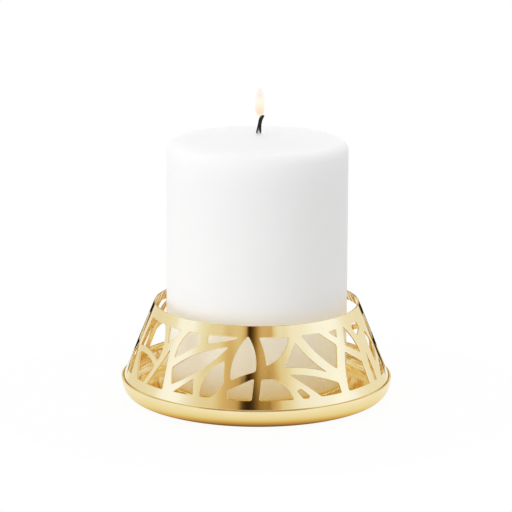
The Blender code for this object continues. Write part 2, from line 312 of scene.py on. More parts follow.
def turned(profile, around, centre=(0.0, 0.0)):
    """Surface of revolution: each (radius, height) is swept round the axis, and a zero radius is a pole.

    The point at angle a is (radius sin a, -radius cos a, height).
    """
    profile = np.asarray(profile, float)
    keep = np.ones(len(profile), bool)
    keep[1:] = np.hypot(*np.diff(profile, axis=0).T) > 1e-6
    profile = profile[keep]
    angles = np.arange(around) * 2 * np.pi / around
    radius = profile[:, :1]
    points = np.stack(
        [radius * np.sin(angles), -radius * np.cos(angles), np.repeat(profile[:, 1:], around, 1)], -1
    ).reshape(-1, 3)
    index = np.arange(len(points)).reshape(len(profile), around)
    pole = profile[:, 0] < 1e-9
    index[pole] = index[pole, :1]
    after = np.roll(index, -1, 1)
    faces = []
    for row in range(len(profile) - 1):
        corners = [index[row], index[row + 1], after[row + 1], after[row]]
        if pole[row]:
            corners = corners[:3]
        if pole[row + 1]:
            corners.pop(2)
        faces += np.stack(corners, 1).tolist()
    used = np.unique(index)
    place = np.zeros(len(points), int)
    place[used] = np.arange(len(used))
    return points[used] + np.array([*centre, 0.0]), [place[face].tolist() for face in faces]


# Uncoated white paper: fully matt, with a faint mottle. Its fibres are too fine to show here, so the mottle
# is drawn 2.5 mm wide. To the camera it is nearly the tent's own white, so that its edge hardly shows.
paper_matt, tree, place = new_material("matt_white_paper")
fibre = add_node(
    tree, "ShaderNodeTexNoise", inputs={"Vector": place, "Scale": 1 / (TABLE_FIBRE * MM), "Detail": 2.0}
)
fibre_bump = add_node(
    tree, "ShaderNodeBump", inputs={"Strength": 0.05, "Distance": 0.1 * MM, "Height": fibre.outputs["Fac"]}
)
paper_lit = add_node(
    tree, "ShaderNodeBsdfDiffuse", inputs={"Color": linear("#F4F4F4"), "Normal": fibre_bump.outputs[0]}
)
paper_white = add_node(tree, "ShaderNodeEmission", inputs={"Color": WHITE, "Strength": 1.0})

# Painted light and shade: the paper carries a warm glow, dark gold close to the dish's foot and fading to
# white further out, which stands in for the brass's own warm light on the paper and the shade round its
# foot. It is drawn in rings round a point 8 mm in front of the axis, and they show only in the metal's
# reflection of the paper.
glow_place = add_node(
    tree,
    "ShaderNodeVectorMath",
    {"operation": "MULTIPLY_ADD"},
    {0: place, 1: (GLOW_SCALE,) * 3, 2: (0, GLOW_SHIFT * MM, 0)},
)
glow_way = add_node(
    tree, "ShaderNodeVectorMath", {"operation": "LENGTH"}, {0: glow_place.outputs[0]}
).outputs["Value"]
glow_start = TABLE_PAINTED_GLOW_AND_SHADE[0][0]
glow_end = TABLE_PAINTED_GLOW_AND_SHADE[-1][0]
glow_share = add_node(
    tree,
    "ShaderNodeMapRange",
    inputs={"Value": glow_way, "From Min": glow_start * MM, "From Max": glow_end * MM},
).outputs["Result"]
painted_paper_glow_ramp = add_node(tree, "ShaderNodeValToRGB", inputs={"Fac": glow_share})
set_ramp(
    painted_paper_glow_ramp.color_ramp,
    [
        ((radius - glow_start) / (glow_end - glow_start), (*colour, 1.0))
        for radius, colour in TABLE_PAINTED_GLOW_AND_SHADE
    ],
)
# This emission is the painted glow and shade, seen only in the metal's reflection
paper_painted_glow_and_shade = add_node(
    tree, "ShaderNodeEmission", inputs={"Color": painted_paper_glow_ramp.outputs["Color"], "Strength": 1.0}
)
paper_rays = add_node(tree, "ShaderNodeLightPath").outputs
mirrored = add_node(
    tree,
    "ShaderNodeMath",
    {"operation": "MAXIMUM"},
    {0: paper_rays["Is Glossy Ray"], 1: paper_rays["Is Transmission Ray"]},
)
white_share = add_node(
    tree, "ShaderNodeMath", {"operation": "MULTIPLY"}, {0: paper_rays["Is Camera Ray"], 1: TABLE_WHITE}
)
paper_seen = add_node(
    tree,
    "ShaderNodeMixShader",
    inputs={0: white_share.outputs[0], 1: paper_lit.outputs[0], 2: paper_white.outputs[0]},
)
paper_all = add_node(
    tree,
    "ShaderNodeMixShader",
    inputs={0: mirrored.outputs[0], 1: paper_seen.outputs[0], 2: paper_painted_glow_and_shade.outputs[0]},
)
add_node(tree, "ShaderNodeOutputMaterial", inputs={"Surface": paper_all.outputs[0]})

table_profile = [(step * TABLE_RADIUS / TABLE_RINGS, 0) for step in range(TABLE_RINGS + 1)]
add_piece("table_top", *turned(table_profile, TABLE_AROUND), paper_matt)


# Dish
# Spun from thick brass sheet over a former: a raised seat for the candle, a drip channel round it, a
# ledge for the gallery and a thin lip. It was polished to a mirror and left bare.
DISH_FOOT_Z = 1.1
DISH_SEAT_Z = 7.6
DISH_SEAT_RADIUS = 40.5
DISH_SEAT_EDGE = 1.0
DISH_CHANNEL_Z = 2.0
DISH_LEDGE_Z = 7.1
DISH_LEDGE_RADIUS = 57.5
DISH_LIP_Z = 9.3
DISH_LIP_INNER = 58.9
DISH_RADIUS = 60.0
DISH_FOOT_RADIUS = 55.2
DISH_HOLLOW_RADIUS = 39.0
DISH_HOLLOW_Z = 6.1
DISH_FOOT_EDGE = 0.4
DISH_FILLET = 5.1
DISH_AROUND = 360

# The lip's inner edge is rounded, and from there its top falls outwards over a width
DISH_LIP_ROUND = 0.15
DISH_LIP_WIDTH = 0.95
DISH_LIP_FALL = 0.45


def straight(start, end, steps=12):
    """Points of a straight run, drawn close together at both ends by a cosine."""
    share = (1 - np.cos(np.linspace(0, np.pi, steps + 1))) / 2
    return np.array(start) + (np.array(end) - np.array(start)) * share[:, None]


def curved(centre, size, start, end, steps=12):
    """Points of an arc between two angles in degrees; size is its radius, or both of an ellipse's."""
    angles = np.radians(np.linspace(start, end, steps + 1))
    return np.array(centre) + np.array(size) * np.stack([np.cos(angles), np.sin(angles)], 1)


dish_profile = np.concatenate(
    [
        straight((0, DISH_SEAT_Z), (DISH_SEAT_RADIUS - DISH_SEAT_EDGE, DISH_SEAT_Z), 30),
        curved((DISH_SEAT_RADIUS - DISH_SEAT_EDGE, DISH_SEAT_Z - DISH_SEAT_EDGE), DISH_SEAT_EDGE, 90, 0),
        curved(
            (DISH_SEAT_RADIUS + DISH_SEAT_EDGE, DISH_CHANNEL_Z + DISH_SEAT_EDGE), DISH_SEAT_EDGE, 180, 270
        ),
        curved((DISH_LEDGE_RADIUS - DISH_FILLET, DISH_CHANNEL_Z + DISH_FILLET), DISH_FILLET, -90, 0, 24),
        straight((DISH_LEDGE_RADIUS, DISH_LEDGE_Z), (DISH_LIP_INNER, DISH_LEDGE_Z), 6),
        curved((DISH_LIP_INNER + DISH_LIP_ROUND, DISH_LIP_Z - DISH_LIP_ROUND), DISH_LIP_ROUND, 180, 90, 8),
        curved(
            (DISH_RADIUS - DISH_LIP_WIDTH, DISH_LIP_Z - DISH_LIP_FALL),
            (DISH_LIP_WIDTH, DISH_LIP_FALL),
            90,
            0,
            20,
        ),
        curved(
            (DISH_FOOT_RADIUS, DISH_LIP_Z - DISH_LIP_FALL),
            (DISH_RADIUS - DISH_FOOT_RADIUS, DISH_LIP_Z - DISH_LIP_FALL - DISH_FOOT_Z),
            0,
            -90,
            40,
        ),
        straight((DISH_FOOT_RADIUS, DISH_FOOT_Z), (DISH_HOLLOW_RADIUS + DISH_FOOT_EDGE, DISH_FOOT_Z)),
        curved(
            (DISH_HOLLOW_RADIUS + DISH_FOOT_EDGE, DISH_FOOT_Z + DISH_FOOT_EDGE), DISH_FOOT_EDGE, 270, 180, 6
        ),
        straight((DISH_HOLLOW_RADIUS, DISH_FOOT_Z + DISH_FOOT_EDGE), (DISH_HOLLOW_RADIUS, DISH_HOLLOW_Z)),
        straight((DISH_HOLLOW_RADIUS, DISH_HOLLOW_Z), (0, DISH_HOLLOW_Z), 30),
    ]
)

# Brass polished on a buffing wheel: a clear reflection in light gold, softened a little by fine swirls
# about half a millimetre apart, and a faint waviness over a centimetre or so where the wheel leaned.
BRASS_SWIRL = 0.5
BRASS_WAVE = 14
brass, tree, place = new_material("buffed_brass")
swirls = add_node(
    tree, "ShaderNodeTexNoise", inputs={"Vector": place, "Scale": 1 / (BRASS_SWIRL * MM), "Detail": 3.0}
)
lean = add_node(
    tree, "ShaderNodeTexNoise", inputs={"Vector": place, "Scale": 1 / (BRASS_WAVE * MM), "Detail": 1.0}
)
gloss = add_node(
    tree,
    "ShaderNodeMapRange",
    inputs={
        "Value": swirls.outputs["Fac"],
        "From Min": 0.3,
        "From Max": 0.7,
        "To Min": 0.04,
        "To Max": 0.085,
    },
)

# The wheel doesn't reach well into the dish, so its seat and channel are a little rougher.
INSIDE_MARGIN = 0.2
INSIDE_ABOVE_SEAT = 0.4
INSIDE_ROUGHER = 0.06
flat_place = add_node(
    tree, "ShaderNodeVectorMath", {"operation": "MULTIPLY"}, {0: place, 1: (1.0, 1.0, 0.0)}
)
metal_radius = add_node(
    tree, "ShaderNodeVectorMath", {"operation": "LENGTH"}, {0: flat_place.outputs[0]}
).outputs["Value"]
metal_height = add_node(tree, "ShaderNodeSeparateXYZ", inputs={0: place}).outputs["Z"]
inside, below = (
    add_node(tree, "ShaderNodeMath", {"operation": "LESS_THAN"}, {0: value, 1: limit * MM}).outputs[0]
    for value, limit in (
        (metal_radius, DISH_LEDGE_RADIUS + INSIDE_MARGIN),
        (metal_height, DISH_SEAT_Z + INSIDE_ABOVE_SEAT),
    )
)
channel = add_node(tree, "ShaderNodeMath", {"operation": "MULTIPLY"}, {0: inside, 1: below}).outputs[0]
gloss = add_node(
    tree,
    "ShaderNodeMath",
    {"operation": "MULTIPLY_ADD"},
    {0: channel, 1: INSIDE_ROUGHER, 2: gloss.outputs["Result"]},
)
wave = add_node(
    tree, "ShaderNodeBump", inputs={"Strength": 0.25, "Distance": 0.02 * MM, "Height": lean.outputs["Fac"]}
)
tone = add_node(tree, "ShaderNodeValToRGB", inputs={"Fac": lean.outputs["Fac"]})
set_ramp(tone.color_ramp, [(0.3, linear("#F5E4B3")), (0.7, linear("#F8E8BC"))])

# Painted light: the brass glows deep gold where light has been mirrored four times between the pieces, so
# that the corners where the renderer stops following it don't turn black. The same painted glow, seen only
# by matt surfaces, stands in for the warm light that the brass throws on the wax and the paper. It is
# deepest gold low in the dish, paler gold up the gallery and a dim grey by the rim.
PAINTED_GLOW_AFTER = 3.5
PAINTED_GLOW_IN_METAL = 0.5
PAINTED_GLOW_ON_MATT = 0.45
PAINTED_GLOW_LOW_Z = 8
PAINTED_GLOW_HIGH_Z = 44
metal_rays = add_node(tree, "ShaderNodeLightPath").outputs
painted_metal_glow = add_node(
    tree, "ShaderNodeMath", {"operation": "GREATER_THAN"}, {0: metal_rays["Glossy Depth"], 1: PAINTED_GLOW_AFTER}
).outputs[0]
painted_metal_glow = add_node(tree, "ShaderNodeMath", {"operation": "MULTIPLY"}, {0: painted_metal_glow, 1: PAINTED_GLOW_IN_METAL}).outputs[0]
painted_metal_glow = add_node(
    tree,
    "ShaderNodeMath",
    {"operation": "MULTIPLY_ADD"},
    {0: metal_rays["Is Diffuse Ray"], 1: PAINTED_GLOW_ON_MATT, 2: painted_metal_glow},
).outputs[0]
painted_metal_glow_height = add_node(
    tree,
    "ShaderNodeMapRange",
    inputs={"Value": metal_height, "From Min": PAINTED_GLOW_LOW_Z * MM, "From Max": PAINTED_GLOW_HIGH_Z * MM},
).outputs["Result"]
painted_metal_glow_tone = add_node(tree, "ShaderNodeValToRGB", inputs={"Fac": painted_metal_glow_height})
set_ramp(
    painted_metal_glow_tone.color_ramp,
    [
        (0.0, (0.5, 0.31, 0.0, 1.0)),
        (0.39, (0.9, 0.72, 0.25, 1.0)),
        (0.72, (0.92, 0.84, 0.52, 1.0)),
        (1.0, (0.55, 0.54, 0.5, 1.0)),
    ],
)
# The brass's emission is the painted glow above
metal = add_node(
    tree,
    "ShaderNodeBsdfPrincipled",
    inputs={
        "Base Color": tone.outputs["Color"],
        "Emission Color": painted_metal_glow_tone.outputs["Color"],
        "Emission Strength": painted_metal_glow,
        "Metallic": 1.0,
        "Roughness": gloss.outputs[0],
        "Normal": wave.outputs[0],
    },
)
add_node(tree, "ShaderNodeOutputMaterial", inputs={"Surface": metal.outputs[0]})

dish = add_piece("dish", *turned(dish_profile, DISH_AROUND), brass)
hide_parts("base_dish")
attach(dish, "stand")


# Gallery
# A cone of brass sheet, pierced with branching leaves and buffed until every cut edge is slightly round.
# It stands loose inside the dish's lip and lifts off over the candle.
SHEET = 0.8
EDGE = 0.22
GALLERY_FOOT_Z = 7.4
GALLERY_BEND_Z = 9.3
GALLERY_FOOT_RADIUS = 58.8
GALLERY_RIM_Z = 42.6
GALLERY_RIM_RADIUS = 45.24
FRET_BOTTOM_Z = 13.1
FRET_TOP_Z = 37.9
FRET_CORNER = 0.8
FRET_CORNER_SHARE = 0.35
BEND_RADIUS = 0.5

# Where the two ends of the sheet's flat pattern are joined, between two openings at the back
SEAM = math.radians(180.45)

# Openings of one half, as corners anticlockwise as seen from outside. A corner is (degrees round from
# the front, height as a share of the pierced band, bulge of the side that follows as a share of its
# length). The back half has the same openings, half a turn on.
OPENINGS = {
    "leaf_by_trunk": ((-11.7, 0.31, -0.03), (-0.5, 0.46, 0.1), (-4.4, 1.02, 0.12)),
    "foot_left_of_trunk": ((-12.4, 0, 0), (-2.1, 0, 0), (-1.2, 0.34, 0.02), (-12.6, 0.13, 0)),
    "wing_by_trunk": ((4.9, 0.55, 0.12), (16.9, 1, 0), (1.5, 1, -0.05)),
    "foot_right_of_trunk": ((1.4, 0, 0), (16.2, 0, 0.14), (7.4, 0.33, 0), (2.5, 0.33, 0)),
    "upright_leaf": ((-25.1, 0.01, 0), (-20.6, 0.01, 0.1), (-14.9, 0.27, 0), (-15.5, 0.61, 0.17)),
    "small_wedge": ((-38.6, 0.01, 0), (-28.3, 0.01, 0), (-29.4, 0.28, 0)),
    "tall_wedge": ((-56.4, 0, 0), (-45, 0, 0), (-47.2, 0.65, 0)),
    "low_arch": ((-65.2, 0, 0), (-59, 0, 0), (-54.6, 0.31, 0.11), (-73.4, 0.4, 0)),
    "wide_window": ((-76.6, 0.48, -0.12), (-53.8, 0.4, 0.14), (-57.2, 1, 0), (-74.6, 1, 0.04)),
    "small_fan": ((-49.9, 0.73, 0.03), (-43, 1, 0), (-52.4, 1, 0)),
    "leaf_under_rim": ((-42.8, 0.54, 0), (-29.7, 0.83, 0), (-30.5, 1, 0), (-37.4, 1, 0.11)),
    "thin_blade": ((-25.6, 0.86, 0.01), (-9.4, 0.98, 0), (-10.6, 1, 0), (-25.9, 1, 0)),
    "long_leaf": ((-40.4, 0.12, 0.04), (-14.3, 0.83, 0.08), (-42.6, 0.38, 0)),
    "thorn": ((12.9, 0.52, -0.05), (34.2, 0.37, -0.03), (20, 0.9, 0)),
    "broad_leaf": ((40.4, 0.39, 0), (43.9, 0.76, 0), (34.4, 1, 0), (23.8, 1, 0.04)),
    "high_pip": ((45.4, 0.87, 0), (46.5, 1.01, 0), (40.7, 0.99, 0)),
    "lying_leaf": ((29.2, 0, 0), (39.9, 0, 0), (39.5, 0.16, 0.05), (15.2, 0.4, -0.02)),
    "low_pip": ((20.5, 0, 0), (23, 0, 0), (23.6, 0.04, 0), (20, 0.16, 0), (18, 0.13, 0)),
    "hanging_blade": ((49.8, 0.72, 0), (60.7, 0.52, 0.09), (52.2, 1.02, 0)),
    "tall_window": ((44.3, 0, 0), (59.7, 0, 0), (59.5, 0.37, 0), (48.4, 0.62, 0.05)),
    "drop": ((62.8, 0.79, 0), (68.6, 0.9, 0), (67, 1, 0), (61, 1, 0), (59.8, 0.94, 0)),
    "slim_leaf": ((72.8, 0.26, 0.11), (79.2, 0.5, 0.06), (73, 0.81, 0.06)),
    "slim_slit": ((64.4, 0, 0), (67, 0, 0), (67.7, 0.18, 0), (66, 0.51, 0), (64.5, 0.26, 0)),
    "low_slit": ((72.8, 0, 0), (79.3, 0, 0), (82, 0.15, 0), (79.5, 0.28, 0)),
    "side_thorn": ((84.2, 0, 0), (91, 0, 0), (89.5, 0.28, 0), (86, 0.44, 0)),
    "side_window": ((83, 0.55, 0), (88.2, 0.65, 0), (86.5, 1, 0), (80, 1, 0)),
    "side_leaf_low": ((-79.5, 0, 0), (-73.6, 0, 0), (-77, 0.36, 0), (-80.5, 0.5, 0), (-87.2, 0.23, 0)),
    "side_leaf_high": ((-86, 0.52, 0), (-80, 0.51, 0), (-82, 0.73, 0), (-84, 0.99, 0), (-88.6, 0.99, 0)),
}

slope = (GALLERY_FOOT_RADIUS - GALLERY_RIM_RADIUS) / (GALLERY_RIM_Z - GALLERY_BEND_Z)
tilt = math.atan(slope)

# Millimetres along the sheet for a radian round it, about halfway up, and for a millimetre of height
SHEET_SCALE = np.array([50.0, 1 / math.cos(tilt)])


def sheet_radius(level):
    """Outer radius of the cone: it falls by the slope for each millimetre of height."""
    return GALLERY_FOOT_RADIUS - slope * (level - GALLERY_BEND_Z)


def cut_line(corners, side_points=14, corner_points=6):
    """Outline of an opening: parabolic sides between corners that are eased by quadratic curves."""
    corners = np.array(corners, float)
    middle = corners[:, :2].mean(0)
    middle_z = FRET_BOTTOM_Z + (FRET_TOP_Z - FRET_BOTTOM_Z) * middle[1]
    across = math.radians(1) * sheet_radius(middle_z)
    up = (FRET_TOP_Z - FRET_BOTTOM_Z) / math.cos(tilt)
    flat = (corners[:, :2] - middle) * np.array([across, up])
    sides = np.roll(flat, -1, 0) - flat
    lengths = np.hypot(*sides.T)
    cuts = np.minimum(FRET_CORNER, FRET_CORNER_SHARE * np.minimum(lengths, np.roll(lengths, 1)))
    outward = np.stack([sides[:, 1], -sides[:, 0]], 1)

    def on_side(i, share):
        share = np.atleast_1d(share)[:, None]
        return flat[i] + sides[i] * share + outward[i] * (4 * corners[i, 2] * share * (1 - share))

    line = []
    for i in range(len(flat)):
        after = (i + 1) % len(flat)
        share = np.linspace(cuts[i] / lengths[i], 1 - cuts[after] / lengths[i], side_points)
        run = on_side(i, share)
        join = on_side(after, cuts[after] / lengths[after])[0]
        ease = np.linspace(0, 1, corner_points + 2)[1:-1, None]
        bend = run[-1] * (1 - ease) ** 2 + flat[after] * 2 * ease * (1 - ease) + join * ease**2
        line += [run, bend]
    line = np.concatenate(line)
    angles = np.radians(middle[0]) + np.radians(line[:, 0] / across)
    return np.stack([angles, middle_z + line[:, 1] * math.cos(tilt)], 1)


def skin(angle, level, depth):
    """Points at a depth under the cone's outer skin, with the skin's outward direction there."""
    out = np.stack(
        [
            np.sin(angle) * math.cos(tilt),
            -np.cos(angle) * math.cos(tilt),
            np.full(angle.shape, math.sin(tilt)),
        ],
        -1,
    )
    radius = sheet_radius(level)
    base = np.stack([radius * np.sin(angle), -radius * np.cos(angle), level], -1)
    return base - out * np.asarray(depth)[..., None], out


# Rounded cut edge, a quarter circle at each skin: shift back from the cut, depth under the outer skin, and
# shares of the skin's own direction and of the cut wall's
edge_turn = np.radians(np.linspace(0, 90, 5))
edge_back = edge_turn[::-1]
edge_shift = np.concatenate([EDGE * (1 - np.sin(edge_turn)), EDGE * (1 - np.sin(edge_back))])
edge_depth = np.concatenate([EDGE * (1 - np.cos(edge_turn)), SHEET - EDGE * (1 - np.cos(edge_back))])
edge_skin = np.concatenate([np.cos(edge_turn), -np.cos(edge_back)])
edge_wall = np.concatenate([np.sin(edge_turn), np.sin(edge_back)])

# Cut lines of both halves, each with the direction into the metal, (round, up the slope) in millimetres
cuts = []
for half in (0.0, math.pi):
    for corners in OPENINGS.values():
        line = cut_line(corners)
        line[:, 0] = (line[:, 0] + half - SEAM) % (2 * math.pi) + SEAM - 2 * math.pi
        metric = np.stack([sheet_radius(line[:, 1]), np.full(len(line), 1 / math.cos(tilt))], 1)
        run = (np.roll(line, -1, 0) - np.roll(line, 1, 0)) * metric
        into = np.stack([run[:, 1], -run[:, 0]], 1) / np.hypot(*run.T)[:, None]
        cuts.append((line, into, metric))

# The skin's flat pattern: its lower and upper edge, its two ends at the seam, the cut lines and inner
# points, which stay 0.45 mm clear of the cut lines. Only points within a margin of a line's box are
# measured, in radians round the sheet and millimetres up.
RING = 480
SEAM_POINTS = 24
INNER_AROUND = 240
INNER_LEVELS = 28
INNER_SKEW = 0.8
INNER_CLEAR = 0.45
SEAM_CLEAR = 0.01
NEAR_MARGIN = np.array([0.03, 1.5])
bend_reach = BEND_RADIUS * math.tan(tilt / 2)
skin_low = GALLERY_BEND_Z + bend_reach * math.cos(tilt)
skin_high = GALLERY_RIM_Z - EDGE * math.cos(tilt)
ring = SEAM - 2 * math.pi + np.arange(RING + 1) * 2 * math.pi / RING
seam_levels = np.linspace(skin_low, skin_high, SEAM_POINTS + 2)[1:-1]
low = np.stack([ring, np.full(RING + 1, skin_low)], 1)
high = np.stack([ring, np.full(RING + 1, skin_high)], 1)
left = np.stack([np.full(SEAM_POINTS, ring[0]), seam_levels], 1)
right = np.stack([np.full(SEAM_POINTS, ring[-1]), seam_levels], 1)
shifted = [line + into * EDGE / metric for line, into, metric in cuts]


def inside_line(line, points):
    """True for the points inside a closed line, by the crossings of a ray along the first axis."""
    start, end = line[:, None], np.roll(line, -1, 0)[:, None]
    spans = (start[..., 1] > points[:, 1]) != (end[..., 1] > points[:, 1])
    rise = np.where(spans, end[..., 1] - start[..., 1], 1.0)
    cross = start[..., 0] + (points[:, 1] - start[..., 1]) * (end[..., 0] - start[..., 0]) / rise
    return (spans & (points[:, 0] < cross)).sum(0) % 2 == 1


def near_line(line, points, margin=0):
    """Numbers of the points inside the box round a line, which is wider on each side by a margin."""
    middle, half_span = (line.max(0) + line.min(0)) / 2, np.ptp(line, 0) / 2
    return np.flatnonzero((np.abs(points - middle) < half_span + margin).all(1))


def line_distance(line, points):
    """Distance in millimetres from each point to the nearest point of a line."""
    return np.hypot(*((points[:, None] - line) * SHEET_SCALE).transpose(2, 0, 1)).min(1)


inner_round, inner_up = np.meshgrid(
    ring[0] + np.arange(1, INNER_AROUND) * 2 * math.pi / INNER_AROUND,
    np.linspace(skin_low, skin_high, INNER_LEVELS)[1:-1],
    indexing="ij",
)
odd_level = np.arange(inner_up.shape[1]) % 2
inner_round = inner_round + odd_level * math.pi / INNER_AROUND * INNER_SKEW
inner = np.stack([inner_round.ravel(), inner_up.ravel()], 1)
inner = inner[(inner[:, 0] > ring[0] + SEAM_CLEAR) & (inner[:, 0] < ring[-1] - SEAM_CLEAR)]
for line in shifted:
    where = near_line(line, inner, NEAR_MARGIN)
    bad = inside_line(line, inner[where]) | (line_distance(line, inner[where]) < INNER_CLEAR)
    inner = np.delete(inner, where[bad], 0)

pattern = np.concatenate([low, high, left, right, *shifted, inner])
low_at = np.arange(RING + 1)
high_at = low_at + RING + 1
left_at = np.arange(SEAM_POINTS) + 2 * (RING + 1)
right_at = left_at + SEAM_POINTS
loop_at = []
total = int(right_at[-1]) + 1
for line in shifted:
    loop_at.append(np.arange(len(line)) + total)
    total += len(line)
chains = [low_at, high_at]
for end, seam_at in ((0, left_at), (-1, right_at)):
    chains.append(np.concatenate([[low_at[end]], seam_at, [high_at[end]]]))
edges = np.concatenate(
    [np.stack([chain[:-1], chain[1:]], 1) for chain in chains]
    + [np.stack([loop, np.roll(loop, -1)], 1) for loop in loop_at]
)
flat = (pattern - np.array([ring[0], 0.0])) * SHEET_SCALE
woven = geometry.delaunay_2d_cdt(flat.tolist(), edges.tolist(), [], 0, 1e-7)
if len(woven[0]) != len(pattern):
    raise RuntimeError("two cut lines of the gallery meet")
source = np.array([first[0] for first in woven[3]])
triangles = source[np.array([list(face) for face in woven[2]])]
centres = pattern[triangles].mean(1)
hole = np.zeros(len(triangles), bool)
for line in shifted:
    where = near_line(line, centres)
    hole[where] |= inside_line(line, centres[where])
triangles = triangles[~hole]

# Both skins share the pattern; its far end at the seam is the near end
same = np.arange(len(pattern))
same[right_at] = left_at
same[low_at[-1]] = low_at[0]
same[high_at[-1]] = high_at[0]
outer_points, outer_normals = skin(pattern[:, 0], pattern[:, 1], np.zeros(len(pattern)))
inner_points, inner_normals = skin(pattern[:, 0], pattern[:, 1], np.full(len(pattern), SHEET))
gallery_points = [outer_points, inner_points]
gallery_normals = [outer_normals, -inner_normals]
gallery_faces = same[triangles].tolist() + (same[triangles[:, ::-1]] + len(pattern)).tolist()


def add_strip(first, rows, normals, last):
    """Closed strip between two rings of the mesh, through new rows of points between them."""
    fresh = sum(map(len, gallery_points)) + np.arange(len(rows) * len(first))
    index = np.concatenate([first[None], fresh.reshape(len(rows), -1), last[None]])
    after = np.roll(index, -1, 1)
    quads = np.stack([index[:-1], index[1:], after[1:], after[:-1]], -1)
    gallery_faces.extend(quads.reshape(-1, 4).tolist())
    gallery_points.append(rows.reshape(-1, 3))
    gallery_normals.append(normals.reshape(-1, 3))


for (line, into, metric), loop in zip(cuts, loop_at):
    shift = edge_shift[1:-1, None, None]
    place_at = line + into * shift / metric
    depth = np.repeat(edge_depth[1:-1, None], len(line), 1)
    rows, out = skin(place_at[..., 0], place_at[..., 1], depth)
    angle = place_at[..., 0]
    round_way = np.stack([np.cos(angle), np.sin(angle), np.zeros(angle.shape)], -1)
    up_way = np.stack(
        [
            -math.sin(tilt) * np.sin(angle),
            math.sin(tilt) * np.cos(angle),
            np.full(angle.shape, math.cos(tilt)),
        ],
        -1,
    )
    wall = -(round_way * into[:, 0, None] + up_way * into[:, 1, None])
    normals = out * edge_skin[1:-1, None, None] + wall * edge_wall[1:-1, None, None]
    add_strip(loop[::-1], rows[:, ::-1], normals[:, ::-1], loop[::-1] + len(pattern))


def swept(profile):
    """Rings of points or directions: (radius, height) rows swept round at the ring's angles."""
    spokes = np.stack([np.sin(ring[:-1]), -np.cos(ring[:-1])], 1)
    return np.concatenate([profile[:, None, :1] * spokes, np.repeat(profile[:, None, 1:], RING, 1)], -1)


# Rim: the sheet's upper edge, rounded like the cut lines
up_slope = np.array([-math.sin(tilt), math.cos(tilt)])
out_slope = np.array([math.cos(tilt), math.sin(tilt)])
rim_end = np.array([sheet_radius(GALLERY_RIM_Z), GALLERY_RIM_Z])
rim_rows = rim_end - up_slope * edge_shift[:, None] - out_slope * edge_depth[:, None]
rim_ways = out_slope * edge_skin[:, None] + up_slope * edge_wall[:, None]
rim_at = high_at[:-1][::-1]
add_strip(rim_at, swept(rim_rows[1:-1])[:, ::-1], swept(rim_ways[1:-1])[:, ::-1], rim_at + len(pattern))

# Foot: the sheet bends upright over a small radius and ends inside the dish's lip
bend = np.linspace(tilt, 0, 7)[1:]
bend_centre = np.array([GALLERY_FOOT_RADIUS - BEND_RADIUS, GALLERY_BEND_Z - bend_reach])
bend_ways = np.stack([np.cos(bend), np.sin(bend)], 1)
foot_ways = np.concatenate([bend_ways, [[1.0, 0.0]] * 2])
foot_outer = np.concatenate(
    [
        bend_centre + BEND_RADIUS * bend_ways,
        [[GALLERY_FOOT_RADIUS, (GALLERY_BEND_Z + GALLERY_FOOT_Z) / 2]],
        [[GALLERY_FOOT_RADIUS, GALLERY_FOOT_Z + EDGE]],
    ]
)
foot_inner = foot_outer - foot_ways * SHEET
foot_end = np.array([GALLERY_FOOT_RADIUS, GALLERY_FOOT_Z])
foot_edge = foot_end + np.stack([-edge_depth, edge_shift], 1)
foot_edge_ways = np.stack([edge_skin, -edge_wall], 1)
foot_rows = np.concatenate([foot_outer, foot_edge[1:-1], foot_inner[::-1]])
foot_ways = np.concatenate([foot_ways, foot_edge_ways[1:-1], -foot_ways[::-1]])
add_strip(low_at[:-1], swept(foot_rows), swept(foot_ways), low_at[:-1] + len(pattern))

# Points that nothing uses, at the pattern's far end, are left out
gallery_points = np.concatenate(gallery_points)
gallery_normals = np.concatenate(gallery_normals)
used = np.zeros(len(gallery_points), bool)
for face in gallery_faces:
    used[face] = True
renumber = np.cumsum(used) - 1
gallery_faces = [renumber[face].tolist() for face in gallery_faces]
gallery = add_piece("gallery_sheet", gallery_points[used], gallery_faces, brass, gallery_normals[used])
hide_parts("gallery")
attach(gallery, "gallery")


# Candle
# A pillar of white paraffin wax, drawn from a mould, so its side is smooth and leans in by a hair. A low
# skirt of wax that has melted and set climbs the wick.
CANDLE_FOOT_Z = 7.9
CANDLE_TOP_Z = 114.6
CANDLE_FOOT_RADIUS = 40.0
CANDLE_TOP_RADIUS = 39.7
CANDLE_SHOULDER = 4.3
CANDLE_FOOT_ROUND = 0.6
CANDLE_CROWN = 2.2
SKIRT_RADIUS = 3.0
SKIRT_RISE = 2.1
SKIRT_LEAN = 0.45
SKIRT_LEAN_RISE = 3.2
RECESS_RADIUS = 6.3
RECESS_DEPTH = 0.7
CANDLE_AROUND = 240

